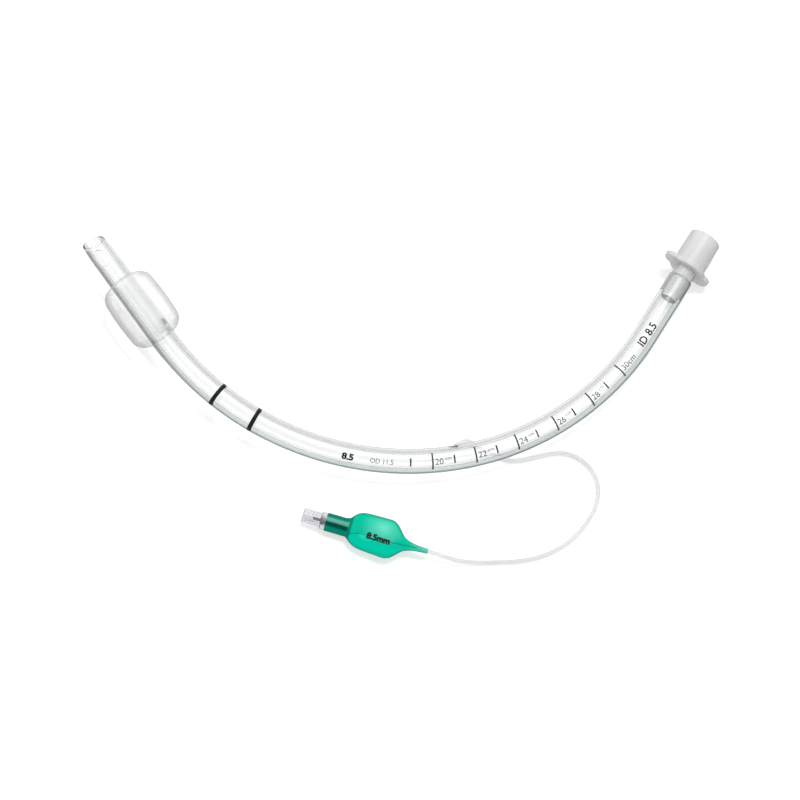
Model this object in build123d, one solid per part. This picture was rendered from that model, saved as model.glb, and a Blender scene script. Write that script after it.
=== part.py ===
from build123d import *
from math import atan, cos, degrees, radians, sin, tan
import os

# Cuffed endotracheal tube, lying on its side as it comes to rest.
# Millimetres, +Z up. X runs along the bow's chord, tip at -X and connector at +X.
# +Y is the inside of the bow. The origin is on the floor under the middle of the
# tube, cuff and connector. The pilot balloon and its line lie outside the bow.

# Airway tube
TUBE_OD = 11.5
TUBE_ID = 8.5
TIP_STRAIGHT = 54.8
BEND_RADIUS = 134.0
TIP_TURN = 58.16
MACHINE_TURN = 54.8
MACHINE_STRAIGHT = 32.6
BEVEL_SLANT = 34.0
TIP_TAPER_LENGTH = 5.0
TIP_OD = 10.6
TIP_ROUND = 0.3
MURPHY_STATION = 7.7
MURPHY_LENGTH = 9.0
MURPHY_WIDTH = 6.0

# Inflation lumen, in the wall on the inside of the bow
LUMEN_D = 0.8
LUMEN_OFFSET = 5.0
CUFF_PORT_STATION = 46.0
CUFF_PORT_LENGTH = 3.0
SKIVE_STATION = 208.0

# Cuff, a thin blown film with a collar bonded round the tube at each end
CUFF_D = 26.0
CUFF_START = 22.8
CUFF_END = 54.8
CUFF_FILM = 0.3
CUFF_CROWN = 0.4
COLLAR_WALL = 0.35
COLLAR_LENGTH = 10.0

# Connector, a 15 mm cone with a taper of 1 in 40
CONE_MOUTH_D = 15.22
CONE_LENGTH = 16.0
CONE_TAPER = 1 / 40
CONE_BORE_D = 13.0
CONE_BORE_DEPTH = 12.5
CONNECTOR_BORE_D = 7.2
STUB_LENGTH = 11.7
STUB_BITE = 0.05
NECK_D = 9.8
NECK_LENGTH = 5.0
NECK_RIBS = 6
FLANGE_THICKNESS = 2.5
FLANGE_D = 17.4
EAR_SPAN = 25.2
EAR_WIDTH = 9.0
WAIST_RADIUS = 2.5
FLANGE_ROLL = 22.0
EDGE_BREAK = 0.35

# Inflation line, and the pilot balloon and valve on its end
LINE_D = 2.0
LINE_SIDES = 12
VALVE_MOUTH = (-54.81, -75.6, 3.85)
BALLOON_TAIL = (0.59, -96.1, 5.9)
LINE_SOCKET = 4.0

# Inflation valve: distances along its axis from the mouth of the syringe port
LUER_MOUTH_D = 4.3
LUER_TAPER = 0.06
LUER_DEPTH = 7.5
SEAT_WEB = 1.1
SEAT_HOLE_D = 1.9
CHAMBER_D = 5.0
HOUSING_D = 6.6
HOUSING_LENGTH = 21.0
SHOULDER_D = 8.0
SHOULDER_START = 8.8
SLEEVE_START = 10.9
SPIGOT_D = 7.0
STEM_D = 1.4
STEM_TIP = 4.8
STEM_HEAD_D = 3.8
STEM_HEAD = 0.8
SEAL_D = 3.6
SEAL_THICKNESS = 0.8
SEAL_GAP = 0.01
GUIDE_D = 2.1
GUIDE_CLEARANCE = 0.05
RETAINER_THICKNESS = 2.2
SPRING_D = 3.0
SPRING_WIRE = 0.3
SPRING_TURNS = 5
WIRE_SIDES = 6
STEM_TRAVEL = 1.5

# How the bow lies: its plane leans so that the cuff and the connector's flange
# touch the floor while the belly rests over the line that passes under it.
REST_SHIFT = (-0.22, -53.92)
REST_HEIGHT = 8.775
REST_SLOPE_X = -0.0184
REST_SLOPE_Y = 0.0267

REST = Location(
    (REST_SHIFT[0], REST_SHIFT[1], REST_HEIGHT),
    (degrees(atan(REST_SLOPE_Y)), -degrees(atan(REST_SLOPE_X)), 0),
)

BEND_LENGTH = BEND_RADIUS * radians(TIP_TURN + MACHINE_TURN)
BEND_END = TIP_STRAIGHT + BEND_LENGTH
TUBE_LENGTH = BEND_END + MACHINE_STRAIGHT


def axis_frame(station):
    """The tube's axis at a distance from the mouth, in the bow's own plane.

    The plane's z runs along the tube, towards the connector; its x points to the
    inside of the bow and its y straight up.
    """
    turn = (station - TIP_STRAIGHT) / BEND_RADIUS - radians(TIP_TURN)
    turn = min(max(turn, -radians(TIP_TURN)), radians(MACHINE_TURN))
    run = station - TIP_STRAIGHT if station < TIP_STRAIGHT else max(0, station - BEND_END)
    along = Vector(cos(turn), sin(turn), 0)
    inward = Vector(-sin(turn), cos(turn), 0)
    on_arc = Vector(0, BEND_RADIUS, 0) - inward * BEND_RADIUS
    return Plane(origin=on_arc + along * run, x_dir=inward, z_dir=along)


def pipe(radius, start, end, inward=0.0):
    """A round bar along the tube's axis, or beside it, between two stations."""
    runs = []
    if start < TIP_STRAIGHT:
        stop = min(end, TIP_STRAIGHT)
        disc = axis_frame(start) * Pos(inward, 0) * Circle(radius)
        runs.append(extrude(disc, stop - start))
    if start < BEND_END and end > TIP_STRAIGHT:
        first, last = max(start, TIP_STRAIGHT), min(end, BEND_END)
        disc = axis_frame(first) * Pos(inward, 0) * Circle(radius)
        turn = degrees((last - first) / BEND_RADIUS)
        runs.append(revolve(disc, Axis((0, BEND_RADIUS, 0), (0, 0, 1)), turn))
    if end > BEND_END:
        first = max(start, BEND_END)
        disc = axis_frame(first) * Pos(inward, 0) * Circle(radius)
        runs.append(extrude(disc, end - first))
    bar = runs[0]
    for run in runs[1:]:
        bar += run
    return bar


def make_tube_shaft(line):
    """The airway tube: slanted rounded tip, side eye, bore and inflation lumen."""
    body_r, bore_r, tip_r = TUBE_OD / 2, TUBE_ID / 2, TIP_OD / 2
    reach = 2 * TUBE_OD
    mouth = Location(axis_frame(0))
    nose = Cone(2 * tip_r - body_r, body_r, 2 * TIP_TAPER_LENGTH)
    nose -= Cylinder(bore_r, reach)
    nose -= Rot(BEVEL_SLANT, 0, 0) * Pos(0, 0, -reach / 2) * Box(reach, reach, reach)
    unslant = Rot(-BEVEL_SLANT, 0, 0)
    rims = nose.edges().filter_by(
        lambda edge: all(
            abs((unslant * Location(edge @ part_way)).position.Z) < 0.01
            for part_way in (0.1, 0.4, 0.7)
        )
    )
    nose = mouth * fillet(rims, TIP_ROUND)
    shaft = pipe(body_r, TIP_TAPER_LENGTH, TUBE_LENGTH)
    shaft -= pipe(bore_r, 0, TUBE_LENGTH + 1)
    shaft += nose

    eye_frame = axis_frame(MURPHY_STATION)
    eye = Rot(90, 0, 0) * extrude(Ellipse(MURPHY_WIDTH / 2, MURPHY_LENGTH / 2), reach)
    shaft -= eye_frame * eye

    shaft -= pipe(LUMEN_D / 2, CUFF_PORT_STATION, SKIVE_STATION, LUMEN_OFFSET)
    port = axis_frame(CUFF_PORT_STATION + CUFF_PORT_LENGTH / 2)
    notch = extrude(SlotOverall(CUFF_PORT_LENGTH, LUMEN_D, rotation=90), body_r)
    shaft -= port * Pos(LUMEN_OFFSET, 0, 0) * Rot(0, 90, 0) * Rot(0, 0, 90) * notch
    return REST * shaft - line


def make_cuff():
    """The cuff's film and its two collars, one blown and bonded piece."""
    base_r = TUBE_OD / 2
    collar_r = base_r + COLLAR_WALL
    top_r = CUFF_D / 2
    middle = (CUFF_START + CUFF_END) / 2

    shoulder = top_r - CUFF_CROWN - collar_r

    def film_line(inset):
        first, last = CUFF_START + shoulder, CUFF_END - shoulder
        arc_r = shoulder - inset
        high = collar_r + arc_r
        crown = ((high, first), (high + CUFF_CROWN, middle), (high, last))
        return [
            CenterArc((collar_r, first), arc_r, 270, 90),
            ThreePointArc(*crown),
            CenterArc((collar_r, last), arc_r, 0, 90),
        ]

    outer, inner = film_line(0), film_line(CUFF_FILM)
    first, last = CUFF_START - COLLAR_LENGTH, CUFF_END
    inner_start, inner_end = inner[0] @ 0, inner[-1] @ 1
    far_foot = ((base_r, last), (base_r, inner_end.Y))
    near_foot = ((base_r, inner_start.Y), (base_r, first), (collar_r, first))
    outline = [
        *outer,
        Polyline(outer[-1] @ 1, *far_foot, inner_end),
        *inner,
        Polyline(inner_start, *near_foot, outer[0] @ 0),
    ]
    profile = make_face(outline)
    upright = revolve(Plane.XZ * profile, Axis.Z)
    film = Location(axis_frame(0)) * upright
    collar = pipe(collar_r, CUFF_END - 0.2, CUFF_END + COLLAR_LENGTH)
    collar -= pipe(base_r, CUFF_END - 1, CUFF_END + COLLAR_LENGTH + 1)
    return REST * (film + collar)


def make_connector():
    """The 15 mm connector: pressed stub, ribbed neck, eared flange and cone."""
    stub_r = TUBE_ID / 2 + STUB_BITE
    bore_r, neck_r = CONNECTOR_BORE_D / 2, NECK_D / 2
    flange_top = NECK_LENGTH + FLANGE_THICKNESS
    mouth = flange_top + CONE_LENGTH
    mouth_r = CONE_MOUTH_D / 2
    foot_r = mouth_r + CONE_LENGTH * CONE_TAPER / 2
    cup_r = CONE_BORE_D / 2
    outer = Polyline(
        (bore_r, -STUB_LENGTH),
        (stub_r - 0.5, -STUB_LENGTH),
        (stub_r, -STUB_LENGTH + 2.0),
        (stub_r, 0),
        (neck_r, 0),
        (neck_r, NECK_LENGTH),
        (foot_r, NECK_LENGTH),
        (foot_r, flange_top),
        (mouth_r, mouth),
        (cup_r, mouth),
        (cup_r, mouth - CONE_BORE_DEPTH),
        (bore_r, NECK_LENGTH - 1.0),
        (bore_r, -STUB_LENGTH),
    )
    body = revolve(Plane.XZ * make_face(outer), Axis.Z)

    plate = Circle(FLANGE_D / 2)
    for side in (-1, 1):
        plate += Pos(side * (EAR_SPAN - EAR_WIDTH) / 2, 0) * Circle(EAR_WIDTH / 2)
    waists = plate.vertices().filter_by(
        lambda corner: abs(Vector(*corner).length - FLANGE_D / 2) < 0.01 and abs(corner.Y) > 1
    )
    plate = fillet(waists, WAIST_RADIUS)
    flange = extrude(plate, FLANGE_THICKNESS)
    flange = chamfer(flange.edges().filter_by(GeomType.LINE, reverse=True), EDGE_BREAK)
    body += Pos(0, 0, NECK_LENGTH) * (flange - Pos(0, 0, -1) * Cylinder(
        neck_r - 0.5, 4 * FLANGE_THICKNESS))
    for place in PolarLocations(neck_r, NECK_RIBS):
        body += place * Pos(0, 0, NECK_LENGTH / 2) * Box(0.9, 1.1, NECK_LENGTH)

    rims = body.edges().filter_by(GeomType.CIRCLE).group_by(Axis.Z)[-1]
    body = chamfer(rims, EDGE_BREAK)
    seat = Location(axis_frame(TUBE_LENGTH)) * Rot(0, 0, FLANGE_ROLL)
    return REST * seat * body


def corner_radii(points):
    """The largest arc that each corner of a route has room for."""
    radii = []
    for before, corner, after in zip(points, points[1:], points[2:]):
        first = Vector(*corner) - Vector(*before)
        second = Vector(*after) - Vector(*corner)
        half_turn = radians(first.get_angle(second)) / 2
        radii.append(0.45 * min(first.length, second.length) / tan(half_turn))
    return radii


def along_valve(distance, sideways=0.0, up=0.0):
    """A point beside the axis of the pilot balloon and valve."""
    return (VALVE_FRAME * Pos(sideways, up, distance)).position


VALVE_AXIS = Vector(*BALLOON_TAIL) - Vector(*VALVE_MOUTH)
VALVE_LENGTH = VALVE_AXIS.length
VALVE_FRAME = Location(
    Plane(
        origin=VALVE_MOUTH,
        x_dir=Vector(-VALVE_AXIS.Y, VALVE_AXIS.X, 0),
        z_dir=VALVE_AXIS,
    )
)

# The inflation line, from the skive in the tube's wall to the balloon's tail
LINE_ROUTE = [
    (16.85, -47.25, 8.5),
    (19.75, -45.5, 8.1),
    (22.75, -44.3, 6.5),
    (26.25, -44.9, 3.8),
    (30.35, -47.6, 1.6),
    (35.25, -50.8, 1.05),
    (41.25, -52.8, 1.05),
    (47.65, -53.1, 1.05),
    (54.65, -51.7, 1.05),
    (61.65, -50.2, 1.05),
    (68.25, -50.2, 1.05),
    (74.25, -52.8, 1.05),
    (79.35, -58, 1.05),
    (82.05, -64.8, 1.05),
    (81.75, -72, 1.05),
    (78.85, -79.4, 1.05),
    (73.65, -86.4, 1.05),
    (67.75, -92, 1.05),
    (60.85, -96.4, 1.05),
    (52.15, -99.8, 1.05),
    (42.15, -101.3, 1.05),
    (31.15, -101.2, 1.05),
    (21.15, -100.9, 1.15),
    (14.25, -100.2, 2.6),
    (9.25, -99.1, 4.9),
    (4.85, -97.7, 6),
    tuple(along_valve(VALVE_LENGTH - LINE_SOCKET)),
]


def make_inflation_line():
    """The thin line that carries air to the cuff."""
    radii = corner_radii(LINE_ROUTE)
    print("line radii", [round(r, 1) for r in radii])
    path = FilletPolyline(*LINE_ROUTE, radius=radii)
    print("line length", round(path.length, 2))
    section = Plane(origin=path @ 0, z_dir=path % 0) * RegularPolygon(LINE_D / 2, LINE_SIDES)
    line = sweep(section, path)
    print("line volume over section by length",
          round(line.volume / (section.area * path.length), 4))
    return line


# Half width and half height of the pilot balloon along the valve's axis
BALLOON_SHAPE = [
    (SLEEVE_START + 10.4, 4.2, 4.2),
    (24.2, 7.3, 4.4),
    (28.0, 8.9, 4.8),
    (34.5, 9.2, 5.0),
    (40.5, 8.9, 4.9),
    (44.6, 6.4, 4.0),
    (48.6, 2.8, 2.4),
    (54.0, 1.6, 1.6),
]
BALLOON_FILM = 0.4


def balloon_loft(inset):
    sections = [
        VALVE_FRAME * Pos(0, 0, u) * Ellipse(wide - inset, high - inset)
        for u, wide, high in BALLOON_SHAPE
    ]
    return loft(sections)


def make_pilot_balloon():
    """The pilot balloon, blown in one piece with its sleeve and its tail."""
    first, last = BALLOON_SHAPE[0][0], BALLOON_SHAPE[-1][0]
    sleeve_r, tail_r = BALLOON_SHAPE[0][1], BALLOON_SHAPE[-1][1]
    spigot_r, line_r = SPIGOT_D / 2, LINE_D / 2
    sleeve = extrude(VALVE_FRAME * Pos(0, 0, SLEEVE_START) * Circle(sleeve_r),
                     first - SLEEVE_START)
    tail = extrude(VALVE_FRAME * Pos(0, 0, last) * Circle(tail_r), VALVE_LENGTH - last)
    body = balloon_loft(0) + sleeve + tail
    body -= balloon_loft(BALLOON_FILM)
    body -= extrude(VALVE_FRAME * Pos(0, 0, SLEEVE_START) * Circle(spigot_r),
                    first - SLEEVE_START + 0.3)
    body -= extrude(VALVE_FRAME * Pos(0, 0, last - 1) * Circle(0.6), VALVE_LENGTH - last)
    body -= extrude(VALVE_FRAME * Pos(0, 0, VALVE_LENGTH - LINE_SOCKET) * Circle(line_r),
                    LINE_SOCKET + 1)
    return body


def turned(*points):
    """A turned piece on the valve's axis, from (radius, distance) points."""
    profile = make_face(Polyline(*points, points[0]))
    return VALVE_FRAME * revolve(Plane.XZ * profile, Axis.Z)


WEB_END = LUER_DEPTH + SEAT_WEB
SEAL_START = WEB_END + SEAL_GAP
HEAD_START = SEAL_START + SEAL_THICKNESS
HEAD_END = HEAD_START + STEM_HEAD
RETAINER_START = HOUSING_LENGTH - RETAINER_THICKNESS


def make_valve_housing():
    """The syringe port with its tapered socket, valve seat and spring chamber."""
    mouth_r = LUER_MOUTH_D / 2
    floor_r = mouth_r - LUER_DEPTH * LUER_TAPER / 2
    hole_r, chamber_r = SEAT_HOLE_D / 2, CHAMBER_D / 2
    return turned(
        (mouth_r + 0.15, 0),
        (HOUSING_D / 2 - 0.3, 0),
        (HOUSING_D / 2, 0.3),
        (HOUSING_D / 2, SHOULDER_START - 0.4),
        (SHOULDER_D / 2, SHOULDER_START),
        (SHOULDER_D / 2, SLEEVE_START),
        (SPIGOT_D / 2, SLEEVE_START),
        (SPIGOT_D / 2, HOUSING_LENGTH),
        (chamber_r, HOUSING_LENGTH),
        (chamber_r, WEB_END),
        (hole_r, WEB_END),
        (hole_r, LUER_DEPTH),
        (floor_r, LUER_DEPTH),
        (mouth_r, 0.15),
    )


def make_valve_retainer():
    """The ring that holds the spring, with notches that let the air past."""
    outer_r, bore_r = CHAMBER_D / 2, GUIDE_D / 2 + GUIDE_CLEARANCE
    ring = turned(
        (bore_r, RETAINER_START),
        (outer_r, RETAINER_START),
        (outer_r, HOUSING_LENGTH),
        (bore_r, HOUSING_LENGTH),
    )
    middle = RETAINER_START + RETAINER_THICKNESS / 2
    for turn in (0, 90, 180, 270):
        notch = Rot(0, 0, turn) * Pos(outer_r, 0, middle) * Box(1.0, 0.9, 2 * RETAINER_THICKNESS)
        ring -= VALVE_FRAME * notch
    return ring


def make_valve_stem():
    """The poppet: a pin that the syringe pushes, a head and a guide pin."""
    pin_r, head_r, guide_r = STEM_D / 2, STEM_HEAD_D / 2, GUIDE_D / 2
    guide_end = HOUSING_LENGTH - STEM_TRAVEL - 0.1
    return turned(
        (0, STEM_TIP),
        (pin_r - 0.2, STEM_TIP),
        (pin_r, STEM_TIP + 0.2),
        (pin_r, HEAD_START),
        (head_r, HEAD_START),
        (head_r, HEAD_END),
        (guide_r, HEAD_END),
        (guide_r, guide_end),
        (0, guide_end),
    )


def make_valve_seal():
    """The rubber washer that the spring presses on to the seat."""
    return turned(
        (STEM_D / 2, SEAL_START),
        (SEAL_D / 2 - 0.15, SEAL_START),
        (SEAL_D / 2, SEAL_START + 0.15),
        (SEAL_D / 2, HEAD_START),
        (STEM_D / 2, HEAD_START),
    )


def make_valve_spring():
    """The wire spring behind the poppet's head, modelled closed on the seat."""
    gap = SPRING_WIRE / 2 + 0.02
    height = RETAINER_START - HEAD_END - 2 * gap
    coil = Helix(pitch=height / SPRING_TURNS, height=height, radius=SPRING_D / 2)
    section = Plane(origin=coil @ 0, z_dir=coil % 0) * RegularPolygon(SPRING_WIRE / 2, WIRE_SIDES)
    wire = sweep(section, coil, is_frenet=True)
    return VALVE_FRAME * Pos(0, 0, HEAD_END + gap) * wire


def save(shape, name):
    box = shape.bounding_box()
    print(name, "volume", round(shape.volume, 2), "low", box.min, "high", box.max)
    export_step(shape, f"parts/{name}.step")


os.makedirs("parts", exist_ok=True)
inflation_line = make_inflation_line()
save(inflation_line, "inflation_line")
save(make_tube_shaft(inflation_line), "tube_shaft")
save(make_cuff(), "cuff")
save(make_connector(), "connector")
save(make_pilot_balloon(), "pilot_balloon")
save(make_valve_housing(), "valve_housing")
save(make_valve_retainer(), "valve_retainer")
save(make_valve_stem(), "valve_stem")
save(make_valve_seal(), "valve_seal")
save(make_valve_spring(), "valve_spring")
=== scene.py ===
"""Looks of a cuffed endotracheal tube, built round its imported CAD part."""

import bmesh
import bpy
import math
from mathutils import Matrix, Vector


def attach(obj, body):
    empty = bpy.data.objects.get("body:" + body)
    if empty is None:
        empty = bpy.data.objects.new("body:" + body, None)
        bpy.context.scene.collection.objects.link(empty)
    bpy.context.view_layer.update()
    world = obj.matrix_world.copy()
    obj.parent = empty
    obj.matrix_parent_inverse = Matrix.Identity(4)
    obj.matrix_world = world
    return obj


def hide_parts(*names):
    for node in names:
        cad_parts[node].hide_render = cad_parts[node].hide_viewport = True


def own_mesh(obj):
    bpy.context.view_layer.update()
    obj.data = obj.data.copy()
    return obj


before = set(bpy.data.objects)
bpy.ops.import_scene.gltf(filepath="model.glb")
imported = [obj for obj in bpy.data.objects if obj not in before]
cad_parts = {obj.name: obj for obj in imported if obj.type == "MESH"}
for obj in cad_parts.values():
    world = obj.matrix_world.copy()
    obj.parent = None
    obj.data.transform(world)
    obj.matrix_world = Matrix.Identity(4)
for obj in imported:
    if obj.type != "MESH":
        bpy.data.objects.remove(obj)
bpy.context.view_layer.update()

MM = 0.001
UP = Vector((0, 0, 1))

# Sizes in millimetres, as in the CAD source
TUBE_R, BORE_R, TIP_R, TIP_TAPER = 5.75, 4.25, 5.3, 5.0
TIP_STRAIGHT, BEND_R, MACHINE_STRAIGHT = 54.8, 134.0, 32.6
TIP_TURN, MACHINE_TURN = math.radians(58.16), math.radians(54.8)
BEND_END = TIP_STRAIGHT + BEND_R * (TIP_TURN + MACHINE_TURN)
TUBE_LENGTH = BEND_END + MACHINE_STRAIGHT
BEVEL = math.tan(math.radians(34))
EYE_STATION, EYE_LENGTH, EYE_WIDTH = 7.7, 9.0, 6.0
LUMEN_R, LUMEN_OFFSET, LUMEN_START, SKIVE = 0.4, 5.0, 46.0, 208.0
CUFF_R, CUFF_START, CUFF_END, COLLAR_R, COLLAR = 13.0, 22.8, 54.8, 6.1, 10.0

REST = (
    Matrix.Translation((-0.22, -53.92, 8.775))
    @ Matrix.Rotation(math.atan(0.0267), 4, "X")
    @ Matrix.Rotation(math.atan(0.0184), 4, "Y")
)

VALVE_MOUTH = Vector((-54.81, -75.6, 3.85))
VALVE_AXIS = (Vector((0.59, -96.1, 5.9)) - VALVE_MOUTH).normalized()
VALVE_SIDE = Vector((-VALVE_AXIS.y, VALVE_AXIS.x, 0)).normalized()
VALVE_UP = VALVE_AXIS.cross(VALVE_SIDE)
VALVE_LENGTH = 59.1
SLEEVE_START, SLEEVE_R, SLEEVE_BORE_R = 10.9, 4.2, 3.55
SPRING_R, WIRE_R, SPRING_TURNS, SPRING_FROM, SPRING_TO, STEM_TRAVEL = 1.5, 0.15, 5, 10.21, 18.8, 1.5
LINE_LENGTH, LINE_D = 183.0, 2.0

# The camera, at the photograph's viewing angle
CAMERA_PLACE = (-0.32839, -0.84892, 2.45415)
CAMERA_RIGHT = Vector((0.99158, -0.07629, 0.10462))
CAMERA_BACK = Vector((-0.12361, -0.31714, 0.94029))
# Edges whose normals point this way get the darker painted shade
AWAY_FROM_LIGHT = (0.0, -1.0, 0.0)


def make_camera():
    data = bpy.data.cameras.new("camera")
    camera = bpy.data.objects.new("camera", data)
    bpy.context.scene.collection.objects.link(camera)
    data.sensor_width = 36
    data.lens = 256.2
    data.clip_start, data.clip_end = 0.05, 40
    back = CAMERA_BACK.normalized()
    right = (CAMERA_RIGHT - back * CAMERA_RIGHT.dot(back)).normalized()
    turn = Matrix((right, back.cross(right), back)).transposed()
    camera.matrix_world = Matrix.Translation(CAMERA_PLACE) @ turn.to_4x4()
    bpy.context.scene.camera = camera


# Geometry helpers


def axis(station):
    """The tube's axis at a station: its place, its direction and the bow's inside."""
    turn = (station - TIP_STRAIGHT) / BEND_R - TIP_TURN
    turn = min(max(turn, -TIP_TURN), MACHINE_TURN)
    run = min(0, station - TIP_STRAIGHT) + max(0, station - BEND_END)
    along = Vector((math.cos(turn), math.sin(turn), 0))
    inward = Vector((-math.sin(turn), math.cos(turn), 0))
    return Vector((0, BEND_R, 0)) - inward * BEND_R + along * run, along, inward


def on_tube(station, angle, radius):
    """A point round the tube; angle 0 is the inside of the bow and 90 degrees the top."""
    centre, _, inward = axis(station)
    return (REST @ (centre + (inward * math.cos(angle) + UP * math.sin(angle)) * radius)) * MM


def on_valve(distance, side=0.0, up=0.0):
    """A point beside the axis of the pilot balloon and valve."""
    return (VALVE_MOUTH + VALVE_AXIS * distance + VALVE_SIDE * side + VALVE_UP * up) * MM


def spread(first, last, count):
    return [first + (last - first) * i / count for i in range(count + 1)]


def new_object(name, data, body, material=None):
    piece = bpy.data.objects.new(name, data)
    bpy.context.scene.collection.objects.link(piece)
    if material:
        data.materials.append(material)
    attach(piece, body)
    return piece


def skin(name, rings, loop=False, along=None):
    """A mesh over rings of points, each one closed; loop joins the last to the first.

    Its UV map holds each ring's value from along, and how far round the ring a point is.
    """
    count, wide = len(rings), len(rings[0])
    points = [point for ring in rings for point in ring]
    faces, corners = [], []
    for i in range(count if loop else count - 1):
        j = (i + 1) % count
        for k in range(wide):
            m = (k + 1) % wide
            faces.append((i * wide + k, j * wide + k, j * wide + m, i * wide + m))
            if along:
                a, b = along[i], along[min(i + 1, len(along) - 1)]
                here, there = k / wide, (k + 1) / wide
                corners += [(a, here), (b, here), (b, there), (a, there)]
    mesh = bpy.data.meshes.new(name)
    mesh.from_pydata(points, [], faces)
    if along:
        layer = mesh.uv_layers.new(name="along")
        for loop_uv, corner in zip(layer.data, corners):
            loop_uv.uv = corner
    mesh.shade_smooth()
    return mesh


def close_ends(mesh):
    """Fills the open ends of a mesh and turns its faces outward."""
    whole = bmesh.new()
    whole.from_mesh(mesh)
    bmesh.ops.holes_fill(whole, edges=[e for e in whole.edges if e.is_boundary])
    bmesh.ops.recalc_face_normals(whole, faces=whole.faces[:])
    whole.to_mesh(mesh)
    whole.free()
    return mesh


def sheet(name, rows):
    """A mesh over an open grid of points."""
    wide = len(rows[0])
    points = [point for row in rows for point in row]
    faces = [
        (i * wide + k, (i + 1) * wide + k, (i + 1) * wide + k + 1, i * wide + k + 1)
        for i in range(len(rows) - 1)
        for k in range(wide - 1)
    ]
    mesh = bpy.data.meshes.new(name)
    mesh.from_pydata(points, [], faces)
    mesh.shade_smooth()
    return mesh


# Material helpers


def material(name):
    made = bpy.data.materials.new(name)
    made.use_nodes = True
    made.node_tree.nodes.clear()
    return made


def add(made, kind, inputs=None, **settings):
    """A node; inputs are values, or outputs to link."""
    tree = made.node_tree
    node = tree.nodes.new(kind)
    for key, value in settings.items():
        setattr(node, key, value)
    for key, value in (inputs or {}).items():
        if isinstance(value, bpy.types.NodeSocket):
            tree.links.new(value, node.inputs[key])
        else:
            node.inputs[key].default_value = value
    return node


def ramp(made, value, *stops):
    node = add(made, "ShaderNodeValToRGB", {0: value})
    elements = node.color_ramp.elements
    while len(elements) < len(stops):
        elements.new(0.5)
    for element, (place, colour) in zip(elements, stops):
        element.position = place
        element.color = (*colour, 1) if isinstance(colour, tuple) else (colour,) * 3 + (1,)
    return node.outputs["Color"]


def finish_with(made, shader):
    out = add(made, "ShaderNodeOutputMaterial")
    made.node_tree.links.new(shader, out.inputs["Surface"])
    return made


def noise(made, scale, detail=3.0, stretch=None, rough=0.5):
    """Noise over the object, or over its UV map where a stretch is given."""
    where = add(made, "ShaderNodeTexCoord").outputs["UV" if stretch else "Object"]
    if stretch:
        where = add(made, "ShaderNodeMapping", {"Vector": where, "Scale": stretch}).outputs[0]
    inputs = {"Vector": where, "Scale": scale, "Detail": detail, "Roughness": rough}
    return add(made, "ShaderNodeTexNoise", inputs).outputs["Fac"]


def bump(made, height, strength, distance):
    inputs = {"Height": height, "Strength": strength, "Distance": distance}
    return add(made, "ShaderNodeBump", inputs).outputs[0]


def arithmetic(made, operation, first, second=0.0, clamp=False):
    node = add(made, "ShaderNodeMath", {0: first, 1: second}, operation=operation, use_clamp=clamp)
    return node.outputs[0]


def across(made, vector, direction):
    """How far a vector points along a fixed direction."""
    inputs = {0: vector, 1: direction}
    return add(made, "ShaderNodeVectorMath", inputs, operation="DOT_PRODUCT").outputs["Value"]


def mix(made, share, first, second, blend="MIX"):
    """One colour over another, by a share from 0 to 1."""
    inputs = {0: share, 6: first, 7: second}
    return add(made, "ShaderNodeMix", inputs, data_type="RGBA", blend_type=blend).outputs[2]


def mix_shaders(made, share, first, second):
    return add(made, "ShaderNodeMixShader", {0: share, 1: first, 2: second}).outputs[0]


def slant(made, blend=0.5):
    """0 where the surface faces the ray and 1 where it is seen edge on."""
    return add(made, "ShaderNodeLayerWeight", {"Blend": blend}).outputs["Facing"]


def unrolled(made):
    """The UV map, the station along the piece in decimetres, and how far round it a point is."""
    where = add(made, "ShaderNodeTexCoord").outputs["UV"]
    parts = add(made, "ShaderNodeSeparateXYZ", {0: where}).outputs
    return where, arithmetic(made, "MULTIPLY", parts[0], 0.1), parts[1]


def principled(made, inputs):
    return add(made, "ShaderNodeBsdfPrincipled", inputs).outputs[0]


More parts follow.
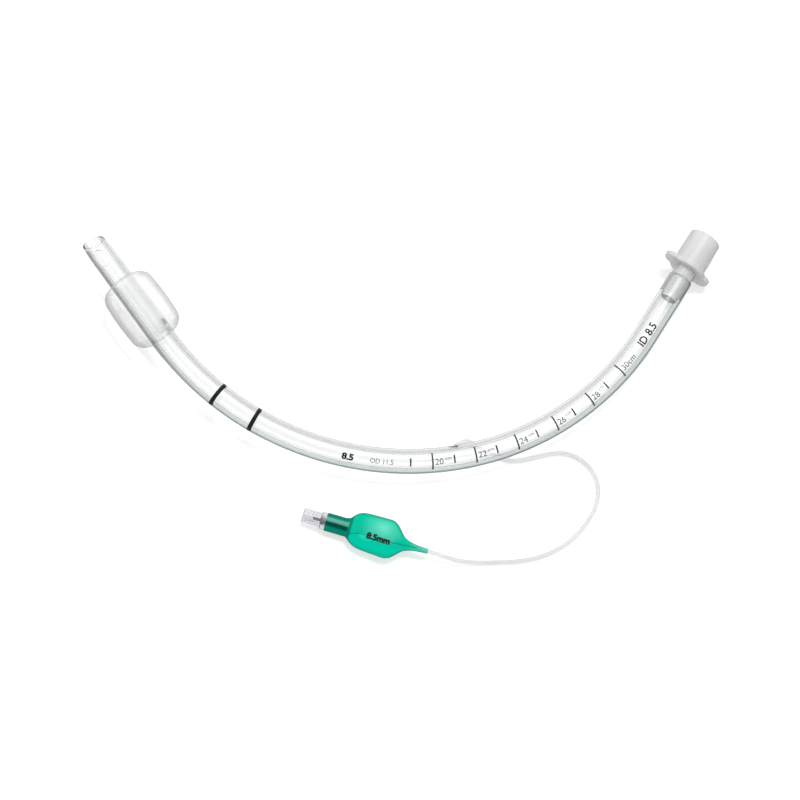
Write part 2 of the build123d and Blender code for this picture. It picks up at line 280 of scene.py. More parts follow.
def clear_pvc():
    """Clear soft PVC, faintly streaked from its extrusion, with painted shade along its edges.

    The painted shade is darker on the edge on the side away from the light, grey near
    the tip and green further along. The rim of the mouth has painted grey shade too.
    """
    made = material("clear_pvc")
    lines = noise(made, 6.0, 3.0, stretch=(0.35, 9.0, 1.0))
    streaked = ramp(made, lines, (0.3, (0.975, 0.985, 0.985)), (0.7, (0.995, 0.998, 0.998)))
    facing = slant(made)
    place = add(made, "ShaderNodeNewGeometry").outputs
    _, station, _ = unrolled(made)
    # Painted edge shade: darker where the tube is seen edge on, for the side away from the light
    green = ramp(
        made,
        facing,
        (0.06, (1.0, 1.0, 1.0)),
        (0.25, (0.74, 0.785, 0.78)),
        (0.44, (0.36, 0.44, 0.435)),
        (0.56, (0.012, 0.035, 0.033)),
    )
    grey = ramp(
        made,
        facing,
        (0.12, (1.0, 1.0, 1.0)),
        (0.27, (0.70, 0.71, 0.71)),
        (0.36, (0.15, 0.16, 0.16)),
        (0.60, (0.04, 0.045, 0.045)),
    )
    # Painted edge shade on the side towards the light: pale bands between darker lines
    towards = ramp(
        made,
        facing,
        (0.28, (1.0, 1.0, 1.0)),
        (0.35, (0.44, 0.45, 0.45)),
        (0.43, (0.50, 0.51, 0.51)),
        (0.52, (0.80, 0.81, 0.81)),
        (0.64, (0.76, 0.77, 0.77)),
        (0.78, (0.30, 0.31, 0.31)),
    )
    near_tip = ramp(made, station, (0.6, 1.0), (1.0, 0.0))
    away = mix(made, near_tip, green, grey)
    # stations run below zero on the bore's wall
    outside = arithmetic(made, "GREATER_THAN", station, -0.001)
    # Painted shade: the edge turned away from the light takes the darker ramps
    side = across(made, place["Normal"], AWAY_FROM_LIGHT)
    shaded = arithmetic(made, "MULTIPLY", ramp(made, side, (0.0, 0.0), (0.12, 1.0)), outside)
    edge = mix(made, shaded, towards, away)
    # Painted shade on the rim of the mouth, where it is seen at a slant
    rim = ramp(made, station, (0.0, 1.0), (0.006, 1.0), (0.02, 0.0))
    rim = arithmetic(made, "MULTIPLY", rim, outside)
    edge = mix(made, rim, edge, ramp(made, facing, (0.25, 1.0), (0.6, 0.30)))
    front = mix(made, place["Backfacing"], edge, (1, 1, 1, 1))
    inputs = {
        "Base Color": mix(made, 1.0, streaked, front, "MULTIPLY"),
        "Roughness": ramp(made, lines, (0.35, 0.015), (0.75, 0.04)),
        "IOR": 1.5,
        "Transmission Weight": 1.0,
    }
    return finish_with(made, principled(made, inputs))


def line_pvc():
    made = material("line_pvc")
    cloud = noise(made, 260.0, 3.0)
    inputs = {
        "Base Color": ramp(made, cloud, (0.3, (0.90, 0.92, 0.93)), (0.7, (0.95, 0.96, 0.965))),
        "Roughness": ramp(made, cloud, (0.3, 0.10), (0.7, 0.22)),
        "IOR": 1.45,
        "Transmission Weight": 0.85,
        "Normal": bump(made, cloud, 0.08, 0.0002),
    }
    return finish_with(made, principled(made, inputs))


def cuff_film():
    """Thin film: almost clear face on and grey along its outline, with faint streaks.

    It has a painted highlight, a milky veil towards the inside of the bow, and painted
    shade, greyer, on the other side.
    """
    made = material("cuff_film")
    streaks = noise(made, 3.0, 2.0, stretch=(0.6, 7.0, 1.0))
    facing = slant(made)
    _, station, around = unrolled(made)
    blown = ramp(made, station, (0.226, 0.0), (0.240, 1.0), (0.536, 1.0), (0.550, 0.0))
    milk = ramp(made, facing, (0.0, 0.08), (0.36, 0.12), (0.5, 0.34), (0.8, 0.55), (1.0, 0.85))
    streak = ramp(made, streaks, (0.45, 0.0), (0.75, 0.05))
    # Painted highlight: a milky white veil towards the inside of the bow
    white = ramp(
        made,
        around,
        (0.12, 0.0),
        (0.19, 0.36),
        (0.27, 0.36),
        (0.335, 0.03),
        (0.37, 0.03),
        (0.395, 0.11),
    )
    streaks_and_painted_highlight = arithmetic(made, "ADD", streak, white)
    film_and_painted_highlight = arithmetic(made, "ADD", milk, streaks_and_painted_highlight, clamp=True)
    film_and_painted_highlight = arithmetic(made, "MULTIPLY", film_and_painted_highlight, blown)
    film_and_painted_highlight = arithmetic(made, "MAXIMUM", film_and_painted_highlight, 0.05)
    outline = ramp(made, facing, (0.34, 0.98), (0.48, 0.74), (1.0, 0.42))
    # Painted shade: greyer on the side away from the light
    shade = ramp(made, around, (0.30, 1.0), (0.37, 0.88), (0.40, 0.80), (0.46, 1.0))
    inputs = {
        "Base Color": mix(made, 1.0, outline, shade, "MULTIPLY"),
        "Roughness": ramp(made, streaks, (0.3, 0.16), (0.7, 0.24)),
        "IOR": 1.35,
        "Specular IOR Level": 0.3,
    }
    clear = add(made, "ShaderNodeBsdfTransparent", {"Color": (0.99, 0.992, 0.995, 1)}).outputs[0]
    return finish_with(made, mix_shaders(made, film_and_painted_highlight, clear, principled(made, inputs)))


def moulded_plastic(name, colour, edge, transmission, roughness, scale=60.0, plates=None):
    """Translucent moulded plastic, slightly clouded, with painted shade where seen at a slant.

    Faces square to the direction plates are kept out of that painted shade and stay pale.
    """
    made = material(name)
    cloud = noise(made, scale, 2.0)
    faint = tuple(c * 0.97 for c in colour)
    # Painted shade: the colour turns to the edge colour where the surface is seen at a slant
    depth = ramp(made, slant(made), (0.25, 0.0), (0.6, 0.45), (0.95, 1.0))
    if plates:
        normal = add(made, "ShaderNodeNewGeometry").outputs["Normal"]
        square = arithmetic(made, "ABSOLUTE", across(made, normal, plates))
        pale = ramp(made, square, (0.35, 1.0), (0.7, 0.1))
        depth = arithmetic(made, "MULTIPLY", depth, pale)
    inputs = {
        "Base Color": mix(made, depth, ramp(made, cloud, (0.3, faint), (0.7, colour)), (*edge, 1)),
        "Roughness": ramp(made, cloud, (0.3, roughness), (0.7, roughness + 0.04)),
        "IOR": 1.46,
        "Transmission Weight": transmission,
    }
    return finish_with(made, principled(made, inputs))


def ink(name, colour, wear):
    """Print on the tube, a little worn."""
    made = material(name)
    spots = noise(made, 1400.0, 5.0, rough=0.7)
    inputs = {
        "Base Color": ramp(made, spots, (0.3, colour), (0.62, colour), (0.8, wear)),
        "Roughness": ramp(made, spots, (0.3, 0.45), (0.7, 0.6)),
        "Specular IOR Level": 0.15,
    }
    return finish_with(made, principled(made, inputs))


def steel():
    made = material("spring_steel")
    drawn = noise(made, 3000.0, 3.0)
    inputs = {
        "Base Color": ramp(made, drawn, (0.3, (0.50, 0.50, 0.51)), (0.7, (0.62, 0.62, 0.63))),
        "Roughness": ramp(made, drawn, (0.3, 0.22), (0.7, 0.38)),
        "Metallic": 1.0,
    }
    return finish_with(made, principled(made, inputs))


def rubber():
    made = material("seal_rubber")
    grain = noise(made, 2500.0, 4.0)
    inputs = {
        "Base Color": ramp(made, grain, (0.3, (0.05, 0.05, 0.055)), (0.7, (0.09, 0.09, 0.095))),
        "Roughness": ramp(made, grain, (0.3, 0.6), (0.7, 0.8)),
        "Normal": bump(made, grain, 0.2, 0.0001),
    }
    return finish_with(made, principled(made, inputs))


# The airway tube


def tube_radius(station):
    return TIP_R + (TUBE_R - TIP_R) * min(1.0, station / TIP_TAPER)


def tube_ring(station, inner, count, rim=0.0):
    """One ring of the tube's wall; near the mouth it leans with the slanted tip."""
    lean = max(0.0, 1 - station / 14) ** 2
    ring = []
    for k in range(count):
        angle = 2 * math.pi * k / count
        radius = BORE_R if inner else TUBE_R
        for _ in range(3):
            place = station + radius * math.sin(angle) * BEVEL * lean
            radius = BORE_R if inner else tube_radius(place)
        if rim:
            radius = BORE_R + (tube_radius(place) - BORE_R) * (0.5 + 0.5 * math.cos(rim))
            place -= 0.4 * math.sin(rim)
        ring.append(on_tube(place, angle, radius))
    return ring


def lumen_ring(station, count=16):
    centre, _, inward = axis(station)
    ring = []
    for k in range(count):
        angle = 2 * math.pi * k / count
        across_wall = inward * (LUMEN_OFFSET + LUMEN_R * math.cos(angle))
        ring.append((REST @ (centre + across_wall + UP * LUMEN_R * math.sin(angle))) * MM)
    return ring


def make_tube(finish):
    count = 120
    near = [0.4, 0.7, 1.1, 1.6, 2.2, 3.0, 4.0, 5.0, 6.0, 7.0, 8.0, 9.2, 10.4, 11.6, 12.8, 14.0]
    stations = near + spread(16.0, TUBE_LENGTH - 0.25, 190)
    rings, along = [], []
    for station in reversed(stations):
        rings.append(tube_ring(station, False, count))
        along.append(station / 10)
    for step in range(1, 8):
        rings.append(tube_ring(0.4, False, count, rim=math.pi * step / 8))
        along.append(0.0)
    for station in stations:
        rings.append(tube_ring(station, True, count))
        along.append(-station / 10)
    for radius in (BORE_R + 0.2, TUBE_R - 0.25):
        angles = (2 * math.pi * k / count for k in range(count))
        rings.append([on_tube(TUBE_LENGTH, angle, radius) for angle in angles])
        along.append(-TUBE_LENGTH / 10)
    mesh = skin("tube", rings, loop=True, along=along)

    piece = new_object("airway_tube", mesh, "tube", finish)
    cutter = bpy.data.objects.new("eye_cutter", eye_cutter())
    bpy.context.scene.collection.objects.link(cutter)
    cut = piece.modifiers.new("eye", "BOOLEAN")
    cut.object, cut.operation, cut.solver = cutter, "DIFFERENCE", "EXACT"
    bpy.context.view_layer.update()
    graph = bpy.context.evaluated_depsgraph_get()
    holed = bpy.data.meshes.new_from_object(piece.evaluated_get(graph))
    piece.modifiers.clear()
    bpy.data.objects.remove(cutter)

    whole = bmesh.new()
    whole.from_mesh(holed)
    bmesh.ops.recalc_face_normals(whole, faces=whole.faces[:])
    # the inflation lumen is a hollow inside the wall, so its faces look the other way
    lumen = skin("lumen", [lumen_ring(s) for s in spread(LUMEN_START, SKIVE - 1, 110)])
    wall_faces = len(whole.faces)
    whole.from_mesh(lumen)
    whole.faces.ensure_lookup_table()
    inner = whole.faces[wall_faces:]
    edges = [edge for edge in {e for f in inner for e in f.edges} if edge.is_boundary]
    caps = bmesh.ops.holes_fill(whole, edges=edges)["faces"]
    bmesh.ops.recalc_face_normals(whole, faces=inner + caps)
    bmesh.ops.reverse_faces(whole, faces=inner + caps)
    whole.to_mesh(holed)
    whole.free()
    holed.shade_smooth()
    holed.set_sharp_from_angle(angle=math.radians(50))
    piece.data = holed
    # the wall lets the light through to the floor and to the stub inside it
    piece.visible_shadow = False
    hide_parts("tube_shaft")


def eye_cutter():
    """The side eye's outline, an oval that goes down through the lower wall."""
    centre, along, inward = axis(EYE_STATION)
    rings = []
    for depth in (0.0, -9.0):
        ring = []
        for k in range(64):
            angle = 2 * math.pi * k / 64
            place = centre + along * (EYE_LENGTH / 2 * math.cos(angle))
            place += inward * (EYE_WIDTH / 2 * math.sin(angle)) + UP * depth
            ring.append((REST @ place) * MM)
        rings.append(ring)
    return close_ends(skin("eye", rings))


# The print on the tube, and painted shade at two notches in its wall

PRINT_R = TUBE_R + 0.02
VIEWED = CAMERA_BACK.normalized()
MARKS_START = -4.0
BANDS = (92.0, 112.2)


def print_angle(station):
    """Where the print's line lies round the tube: towards the viewer."""
    _, _, inward = axis(station)
    return math.atan2(VIEWED.z, VIEWED.dot(inward)) + math.radians(2)


def make_bands(black):
    for name, station in zip(("band_1", "band_2"), BANDS):
        middle = print_angle(station)
        rows = [
            [on_tube(s, a, PRINT_R) for a in spread(middle - 1.7, middle + 1.7, 60)]
            for s in spread(station - 0.95, station + 0.95, 4)
        ]
        new_object(name, sheet(name, rows), "tube", black)


def make_marks(grey):
    """Lines across the tube: long ones at even centimetres and short ones between."""
    for centimetre in range(19, 31):
        station = centimetre * 10 + MARKS_START
        half = math.radians(40 if centimetre % 2 == 0 else 19)
        middle = print_angle(station)
        rows = [
            [on_tube(s, a, PRINT_R) for a in spread(middle - half, middle + half, 14)]
            for s in spread(station - 0.36, station + 0.36, 2)
        ]
        name = f"mark_{centimetre}"
        new_object(name, sheet(name, rows), "tube", grey)


def flat_text(words, height, bold=0.0):
    """Letters as a flat mesh, in millimetres, centred on the origin and cut into fine strips."""
    curve = bpy.data.curves.new("words", "FONT")
    curve.body = words
    curve.offset = bold
    curve.resolution_u = 4
    holder = bpy.data.objects.new("words", curve)
    bpy.context.scene.collection.objects.link(holder)
    bpy.context.view_layer.update()
    graph = bpy.context.evaluated_depsgraph_get()
    mesh = bpy.data.meshes.new_from_object(holder.evaluated_get(graph))
    bpy.data.objects.remove(holder)
    low, high = (
        Vector([end(v.co[i] for v in mesh.vertices) for i in (0, 1)] + [0]) for end in (min, max)
    )
    scale = height / (high.y - low.y)
    for vertex in mesh.vertices:
        vertex.co = (vertex.co - (low + high) / 2) * scale
    cut = bmesh.new()
    cut.from_mesh(mesh)
    wide = (high.x - low.x) * scale / 2
    for direction, reach, step in (((0, 1, 0), height / 2, 0.3), ((1, 0, 0), wide, 0.8)):
        for k in range(1, int(2 * reach / step) + 1):
            place = Vector(direction) * (-reach + k * step)
            parts = cut.verts[:] + cut.edges[:] + cut.faces[:]
            bmesh.ops.bisect_plane(cut, geom=parts, plane_co=place, plane_no=direction, dist=1e-5)
    cut.to_mesh(mesh)
    cut.free()
    return mesh


def print_on_tube(name, words, station, height, inked, bold=0.0, aside=0.0, stretch=1.0):
    """Letters that read towards the connector, with their tops to the inside of the bow."""
    mesh = flat_text(words, height, bold)
    for vertex in mesh.vertices:
        place = station + vertex.co.x * stretch
        angle = print_angle(station) + (aside - vertex.co.y) / TUBE_R
        vertex.co = on_tube(place, angle, PRINT_R)
    mesh.name = name
    mesh.shade_smooth()
    new_object(name, mesh, "tube", inked)


def place_skive_shade(grey):
    """Painted shade where the cut in the wall lets the line in."""
    rows = []
    for k, station in enumerate(spread(205.2, 209.4, 10)):
        top = math.radians(8 + 16 * math.sin(math.pi * k / 20))
        rows.append([on_tube(station, a, PRINT_R) for a in spread(0.0, top, 6)])
    new_object("skive_shade", sheet("skive_shade", rows), "tube", grey)


def place_port_shade(grey):
    """Painted shade where the lumen opens into the cuff through a notch."""
    rows = []
    for station in spread(48.0, 51.6, 12):
        half = 15 * math.sqrt(max(0.0, 1 - ((station - 49.8) / 1.85) ** 2))
        spans = spread(math.radians(36 - half), math.radians(36 + half), 8)
        rows.append([on_tube(station, a, PRINT_R) for a in spans])
    new_object("cuff_port_shade", sheet("cuff_port_shade", rows), "tube", grey)


def make_print(black, grey, faint):
    make_bands(black)
    make_marks(grey)
    print_on_tube("size_mark", "8.5", 157.5, 3.2, black, bold=0.05, aside=0.2, stretch=1.1)
    print_on_tube("outer_size_mark", "OD 11.5", 172.9, 2.3, faint, stretch=0.92, aside=0.2)
    print_on_tube("inner_size_mark", "ID 8.5", 317.75, 3.8, black, bold=0.02)
    for centimetre in range(20, 30, 2):
        mark = centimetre * 10 + MARKS_START
        print_on_tube(f"number_{centimetre}", f"{centimetre}", mark + 3.0, 2.8, grey, aside=0.3)
        print_on_tube(f"unit_{centimetre}", "cm", mark + 7.2, 1.2, faint, aside=-0.6)
    print_on_tube("number_30", "30cm", 300 + MARKS_START + 5.6, 2.8, grey, aside=0.3)
    place_skive_shade(faint)
    place_port_shade(grey)


# The cuff


def cuff_profile():
    """The film's radius along the tube, from one collar to the other."""
    shoulder = CUFF_R - 0.4 - COLLAR_R
    middle = (CUFF_START + CUFF_END) / 2
    points = [(CUFF_START - COLLAR, TUBE_R + 0.02), (CUFF_START - COLLAR + 0.1, COLLAR_R - 0.12)]
    points += [(s, COLLAR_R) for s in spread(CUFF_START - COLLAR + 0.4, CUFF_START - 0.3, 10)]
    for angle in spread(0, math.pi / 2, 14):
        points.append(
            (CUFF_START + shoulder * (1 - math.cos(angle)), COLLAR_R + shoulder * math.sin(angle))
        )
    for station in spread(CUFF_START + shoulder, CUFF_END - shoulder, 12)[1:-1]:
        part = (station - middle) / (middle - CUFF_START - shoulder)
        points.append((station, CUFF_R - 0.4 * part * part))
    for angle in spread(math.pi / 2, 0, 14):
        points.append(
            (CUFF_END - shoulder * (1 - math.cos(angle)), COLLAR_R + shoulder * math.sin(angle))
        )
    points += [(s, COLLAR_R) for s in spread(CUFF_END + 0.3, CUFF_END + COLLAR - 0.4, 10)]
    points += [(CUFF_END + COLLAR - 0.1, COLLAR_R - 0.12), (CUFF_END + COLLAR, TUBE_R + 0.02)]
    return points


def make_cuff(finish):
    count = 144
    rings, along = [], []
    for station, radius in cuff_profile():
        swell = max(0.0, (radius - COLLAR_R) / (CUFF_R - COLLAR_R))
        soft = 0.22 * math.sin(math.pi * swell)
        ring = []
        for k in range(count):
            angle = 2 * math.pi * k / count
            pleat = math.cos(11 * angle + 0.6) * math.cos(5 * angle - 1.1)
            ring.append(on_tube(station, angle, radius - soft * (0.5 + 0.5 * pleat)))
        rings.append(ring)
        along.append(station / 10)
    mesh = skin("cuff_film", rings, along=along)
    piece = new_object("cuff_film", mesh, "tube", finish)
    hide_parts("cuff")


# The inflation line, pilot balloon and valve

LINE_ROUTE = [
    (16.85, -47.25, 8.5),
    (19.75, -45.5, 8.1),
    (22.75, -44.3, 6.5),
    (26.25, -44.9, 3.8),
    (30.35, -47.6, 1.6),
    (35.25, -50.8, 1.05),
    (41.25, -52.8, 1.05),
    (47.65, -53.1, 1.05),
    (54.65, -51.7, 1.05),
    (61.65, -50.2, 1.05),
    (68.25, -50.2, 1.05),
    (74.25, -52.8, 1.05),
    (79.35, -58, 1.05),
    (82.05, -64.8, 1.05),
    (81.75, -72, 1.05),
    (78.85, -79.4, 1.05),
    (73.65, -86.4, 1.05),
    (67.75, -92, 1.05),
    (60.85, -96.4, 1.05),
    (52.15, -99.8, 1.05),
    (42.15, -101.3, 1.05),
    (31.15, -101.2, 1.05),
    (21.15, -100.9, 1.15),
    (14.25, -100.2, 2.6),
    (9.25, -99.1, 4.9),
    (4.85, -97.7, 6),
    (-3.16, -94.71, 5.76),
]


def make_spring(finish):
    """The wire spring behind the poppet, its end turns closed."""
    low, high, closed = SPRING_FROM + 0.17, SPRING_TO - 0.17, 0.34
    middle = SPRING_TURNS / 2
    open_pitch = ((high - low) / 2 - closed) / (middle - 1)
    rings = []
    for turn in spread(0.0, SPRING_TURNS, 180):
        from_end = min(turn, SPRING_TURNS - turn)
        rise = closed * min(from_end, 1.0) + open_pitch * max(0.0, from_end - 1.0)
        place = low + rise if turn <= middle else high - rise
        angle = 2 * math.pi * turn
        ring = []
        for k in range(12):
            about = 2 * math.pi * k / 12
            reach = SPRING_R + WIRE_R * math.cos(about)
            up = place + WIRE_R * math.sin(about)
            ring.append(on_valve(up, reach * math.cos(angle), reach * math.sin(angle)))
        rings.append(ring)
    mesh = close_ends(skin("valve_spring_wire", rings))
    piece = new_object("valve_spring_wire", mesh, "tube", finish)
    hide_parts("valve_spring")
    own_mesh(piece)
    return piece


def make_line(finish, spring):
    curve = bpy.data.curves.new("inflation_line", "CURVE")
    curve.dimensions = "3D"
    spline = curve.splines.new("NURBS")
    spline.points.add(len(LINE_ROUTE) - 1)
    for point, place in zip(spline.points, LINE_ROUTE):
        point.co = (*(c * MM for c in place), 1)
    spline.order_u = 3
    spline.use_endpoint_u = True
    spline.resolution_u = 12
    curve.bevel_depth = LINE_D / 2 * MM
    curve.bevel_resolution = 8
    curve.use_fill_caps = True
    line = new_object("inflation_tubing", curve, "tube", finish)
    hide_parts("inflation_line")


# Along the balloon: reach to either side and half height
BALLOON = [
    (21.2, 4.7, 4.2, 4.2),
    (24.1, 7.9, 6.6, 4.5),
    (27.0, 9.1, 7.9, 4.8),
    (31.0, 9.4, 8.4, 5.0),
    (36.0, 9.5, 8.7, 5.0),
    (40.6, 9.4, 8.9, 4.9),
    (43.2, 7.9, 7.9, 4.5),
    (45.6, 5.2, 5.6, 3.7),
    (48.2, 2.8, 3.1, 2.6),
    (53.0, 1.5, 1.7, 1.5),
    (58.9, 1.15, 1.15, 1.15),
]
# Along the balloon: the fold's place to the side
FOLD = [
    (21.5, -3.9),
    (26.0, -2.8),
    (31.0, -2.1),
    (36.0, -2.1),
    (41.5, -2.6),
    (49.0, -1.0),
    (55.0, -0.4),
]


def smooth_between(table, u):
    """Smooth curves through the values of a table, whose rows start with their place u."""
    last = len(table) - 1
    i = max(0, min(last - 1, sum(1 for row in table if row[0] <= u) - 1))
    rows = [table[max(0, min(last, i + d))] for d in (-1, 0, 1, 2)]
    (ua, *a), (ub, *b), (uc, *c), (ud, *d) = rows
    t = (u - ub) / (uc - ub)
    out = []
    for va, vb, vc, vd in zip(a, b, c, d):
        slope_b = (vc - va) / (uc - ua) * (uc - ub)
        slope_c = (vd - vb) / (ud - ub) * (uc - ub)
        out.append(
            vb * (2 * t**3 - 3 * t**2 + 1)
            + slope_b * (t**3 - 2 * t**2 + t)
            + vc * (3 * t**2 - 2 * t**3)
            + slope_c * (t**3 - t**2)
        )
    return out


def balloon_size(u):
    """Reach to either side and half height."""
    if u <= BALLOON[0][0]:
        part = max(0.0, (u - 18.5) / (BALLOON[0][0] - 18.5)) ** 2
        return SLEEVE_R + 0.5 * part, SLEEVE_R, SLEEVE_R
    return smooth_between(BALLOON, min(u, BALLOON[-1][0]))


def fold(u):
    """How far to the side the fold along the top of the balloon lies."""
    return smooth_between(FOLD, min(max(u, FOLD[0][0]), FOLD[-1][0]))[0]


def balloon_rise(u, side):
    """Half the balloon's thickness beside its axis."""
    left, right, high = balloon_size(u)
    reach = left if side > 0 else right
    return high * math.sqrt(max(0.0, 1 - min(1.0, abs(side / reach)) ** 2.2))


def balloon_top(u, side, proud=0.0):
    """A point on the upper side of the balloon, which is creased along its fold."""
    groove = 0.14 * math.exp(-(((side - fold(u)) / 0.28) ** 2)) if 21.5 < u < 54 else 0.0
    return on_valve(u, side, balloon_rise(u, side) - groove + proud)


def balloon_ring(u, count):
    """One ring, evenly spaced over the top and the underside."""
    left, right, _ = balloon_size(u)
    ring = []
    for k in range(count):
        angle = 2 * math.pi * k / count
        side = (left if math.cos(angle) > 0 else right) * math.cos(angle)
        if math.sin(angle) > 0:
            ring.append(balloon_top(u, side))
        else:
            ring.append(on_valve(u, side, -balloon_rise(u, side)))
    return ring


def round_ring(u, radius, count):
    angles = (2 * math.pi * k / count for k in range(count))
    return [on_valve(u, radius * math.cos(a), radius * math.sin(a)) for a in angles]


def make_balloon(finish, seam, black):
    count = 240
    edge = ((0.0, SLEEVE_BORE_R), (0.0, SLEEVE_R - 0.3), (0.15, SLEEVE_R))
    rings = [round_ring(SLEEVE_START + u, radius, count) for u, radius in edge]
    along = [1.09, 1.09, 1.1]
    for u in spread(11.6, VALVE_LENGTH - 0.2, 140):
        rings.append(balloon_ring(u, count))
        along.append(u / 10)
    rings += [round_ring(VALVE_LENGTH, radius, count) for radius in (1.08, 1.02)]
    along += [VALVE_LENGTH / 10] * 2
    mesh = skin("pilot_balloon_film", rings, along=along)
    piece = new_object("pilot_balloon_film", mesh, "tube", finish)
    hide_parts("pilot_balloon")

    rows = []
    for u in spread(21.6, 54, 90):
        rows.append([balloon_top(u, fold(u) + aside, 0.04) for aside in (-0.17, 0.0, 0.17)])
    crease = new_object("balloon_fold", sheet("balloon_fold", rows), "tube", seam)
    crease.parent = piece

    mesh = flat_text("8.5mm", 3.1, bold=0.05)
    for vertex in mesh.vertices:
        vertex.co = balloon_top(36.0 + vertex.co.x * 1.03, vertex.co.y - 2.3, 0.2)
    mesh.name = "balloon_size_mark"
    mesh.shade_smooth()
    mark = new_object("balloon_size_mark", mesh, "tube", black)
    mark.parent = piece
    return piece


def balloon_film():
    """Green blown film, deep where it is seen at a slant, with a painted highlight on top.

    Its underside is painted paler, as if lit through, and over the valve's body painted
    highlight and painted shade give the body's lit and shaded sides.
    """
    made = material("balloon_film")
    cloud = noise(made, 3.0, 2.0, stretch=(1.0, 3.0, 1.0))
    where, station, around = unrolled(made)
    # Painted highlight: paler film round a spot on the top
    scaled = add(made, "ShaderNodeVectorMath", {0: where, 1: (1.0, 7.0, 0.0)}, operation="MULTIPLY")
    inputs = {0: scaled.outputs[0], 1: (3.7, 1.38, 0.0)}
    far = add(made, "ShaderNodeVectorMath", inputs, operation="DISTANCE").outputs["Value"]
    painted_highlight = ramp(made, far, (0.05, 1.0), (0.5, 0.4), (1.0, 0.0))
    green = ramp(made, cloud, (0.3, (0.0, 0.66, 0.43)), (0.7, (0.0, 0.72, 0.48)))
    colour = mix(made, painted_highlight, green, (0.22, 1.0, 0.80, 1))
    # Painted light: paler on the underside
    low = ramp(made, around, (0.29, 0.0), (0.40, 1.0), (0.52, 1.0), (0.62, 0.0))
    colour = mix(made, low, colour, (0.0, 1.0, 0.72, 1))
    tail = ramp(made, station, (0.50, 0.0), (0.57, 1.0))
    colour = mix(made, tail, colour, (0.16, 0.80, 0.62, 1))
    # Painted highlight and painted shade: the lit and shaded sides of the valve's body
    painted_sleeve_light_and_shade = ramp(
        made,
        around,
        (0.10, (0.0, 0.20, 0.15)),
        (0.19, (0.01, 0.26, 0.20)),
        (0.225, (0.22, 0.66, 0.52)),
        (0.275, (0.12, 0.50, 0.38)),
        (0.295, (0.0, 0.08, 0.065)),
        (0.355, (0.0, 0.10, 0.08)),
        (0.385, (0.0, 0.42, 0.30)),
    )
    colour = mix(made, ramp(made, station, (0.214, 1.0), (0.220, 0.0)), colour, painted_sleeve_light_and_shade)
    sleeve_end = ramp(made, station, (0.214, 0.0), (0.218, 1.0), (0.222, 1.0), (0.232, 0.0))
    colour = mix(made, sleeve_end, colour, (0.0, 0.20, 0.15, 1))
    depth = ramp(made, slant(made, 0.4), (0.30, 0.0), (0.45, 0.35), (0.7, 1.0))
    inputs = {
        "Base Color": mix(made, depth, colour, (0.0, 0.15, 0.105, 1)),
        "Roughness": ramp(made, cloud, (0.3, 0.30), (0.7, 0.38)),
        "IOR": 1.35,
        "Specular IOR Level": 0.08,
    }
    clear = add(made, "ShaderNodeBsdfTransparent", {"Color": (0.03, 0.88, 0.66, 1)}).outputs[0]
    return finish_with(made, mix_shaders(made, 0.72, clear, principled(made, inputs)))


# The stage


def make_floor():
    """A pale floor, partly lit and partly white of itself, with a faint gloss."""
    reach = 6
    corners = [(-reach, -reach, 0), (reach, -reach, 0), (reach, reach, 0), (-reach, reach, 0)]
    mesh = bpy.data.meshes.new("floor")
    mesh.from_pydata(corners, [], [(0, 1, 2, 3)])
    made = material("floor")
    inputs = {
        "Base Color": ramp(made, noise(made, 40.0, 2.0), (0.3, 0.93), (0.7, 0.95)),
        "Roughness": 0.35,
        "Specular IOR Level": 0.3,
    }
    path = add(made, "ShaderNodeLightPath").outputs
    seen = arithmetic(made, "MAXIMUM", path["Is Camera Ray"], path["Is Glossy Ray"])
    seen = arithmetic(made, "MAXIMUM", seen, path["Is Transmission Ray"])
    white = add(made, "ShaderNodeEmission", {"Color": (1, 1, 1, 1), "Strength": 1.06}).outputs[0]
    white_share = arithmetic(made, "MULTIPLY", seen, 0.65)
    plain = mix_shaders(made, white_share, principled(made, inputs), white)
    gloss = add(made, "ShaderNodeBsdfGlossy", {"Color": (1, 1, 1, 1), "Roughness": 0.13}).outputs[0]
    gloss_share = arithmetic(made, "MULTIPLY", path["Is Camera Ray"], 0.085)
    finish_with(made, mix_shaders(made, gloss_share, plain, gloss))
    mesh.materials.append(made)
    floor = bpy.data.objects.new("floor", mesh)
    bpy.context.scene.collection.objects.link(floor)


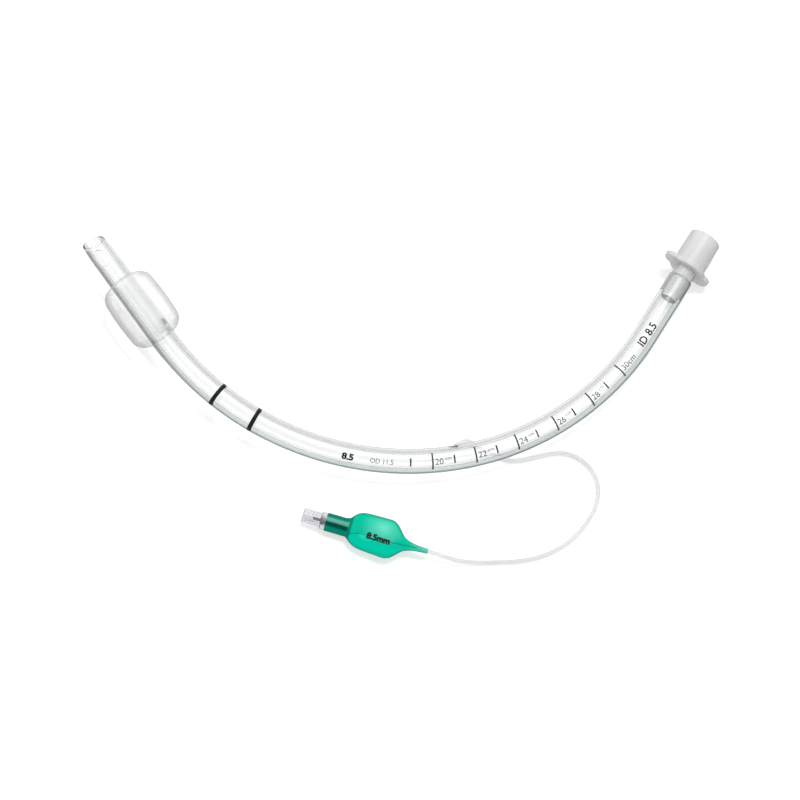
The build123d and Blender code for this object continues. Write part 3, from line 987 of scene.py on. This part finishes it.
def make_world():
    """A bright studio overhead and behind, dimmer on the camera's side."""
    world = bpy.data.worlds.new("studio")
    bpy.context.scene.world = world
    world.use_nodes = True
    world.node_tree.nodes.clear()
    where = add(world, "ShaderNodeTexCoord").outputs["Generated"]
    upward = across(world, where, (0.0, 0.6, 0.8))
    shade = ramp(world, upward, (0.0, 0.30), (0.35, 0.55), (0.8, 1.0))
    path = add(world, "ShaderNodeLightPath").outputs
    colour = mix(world, path["Is Camera Ray"], shade, (1, 1, 1, 1))
    back = add(world, "ShaderNodeBackground", {"Color": colour, "Strength": 1.0}).outputs[0]
    out = add(world, "ShaderNodeOutputWorld")
    world.node_tree.links.new(back, out.inputs["Surface"])


def make_lamp():
    data = bpy.data.lights.new("softbox", "AREA")
    data.shape, data.size, data.size_y = "RECTANGLE", 1.2, 0.8
    data.energy = 9
    lamp = bpy.data.objects.new("softbox", data)
    bpy.context.scene.collection.objects.link(lamp)
    lamp.location = (0.35, 0.45, 1.9)
    lamp.rotation_euler = (-lamp.location).to_track_quat("-Z", "Y").to_euler()


def paint(node, finish):
    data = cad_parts[node].data
    data.materials.clear()
    data.materials.append(finish)


bpy.context.scene.view_settings.view_transform = "Standard"
make_camera()
make_world()
make_lamp()
make_floor()

black_ink = ink("black_ink", (0.012, 0.012, 0.014), (0.06, 0.06, 0.065))
grey_ink = ink("grey_ink", (0.035, 0.037, 0.042), (0.16, 0.16, 0.17))
faint_ink = ink("faint_ink", (0.13, 0.135, 0.14), (0.32, 0.33, 0.34))
make_tube(clear_pvc())
make_print(black_ink, grey_ink, faint_ink)
make_cuff(cuff_film())
fold_green = moulded_plastic("balloon_seam", (0.0, 0.22, 0.155), (0.0, 0.10, 0.07), 0.0, 0.4, 400.0)
balloon = make_balloon(balloon_film(), fold_green, black_ink)
make_line(line_pvc(), make_spring(steel()))

# Node, material, colour, painted shade colour at a slant, transmission, roughness
for node, name, *look in (
    ("valve_housing", "valve_plastic", (0.97, 0.955, 0.99), (0.50, 0.47, 0.56), 0.9, 0.06),
    ("valve_retainer", "retainer_plastic", (0.8, 0.8, 0.82), (0.4, 0.4, 0.42), 0.3, 0.3),
    ("valve_stem", "stem_plastic", (0.14, 0.13, 0.15), (0.05, 0.05, 0.055), 0.0, 0.35),
):
    paint(node, moulded_plastic(name, *look))
paint("valve_seal", rubber())
cone_axis = tuple(REST.to_3x3() @ axis(TUBE_LENGTH)[1])
# The connector's colour, and the colour of its painted shade at a slant
pale, pale_painted_shade = (0.98, 0.982, 0.985), (0.50, 0.51, 0.52)
white_plastic = moulded_plastic("connector_plastic", pale, pale_painted_shade, 0.3, 0.22, plates=cone_axis)
paint("connector", white_plastic)

bpy.context.view_layer.update()
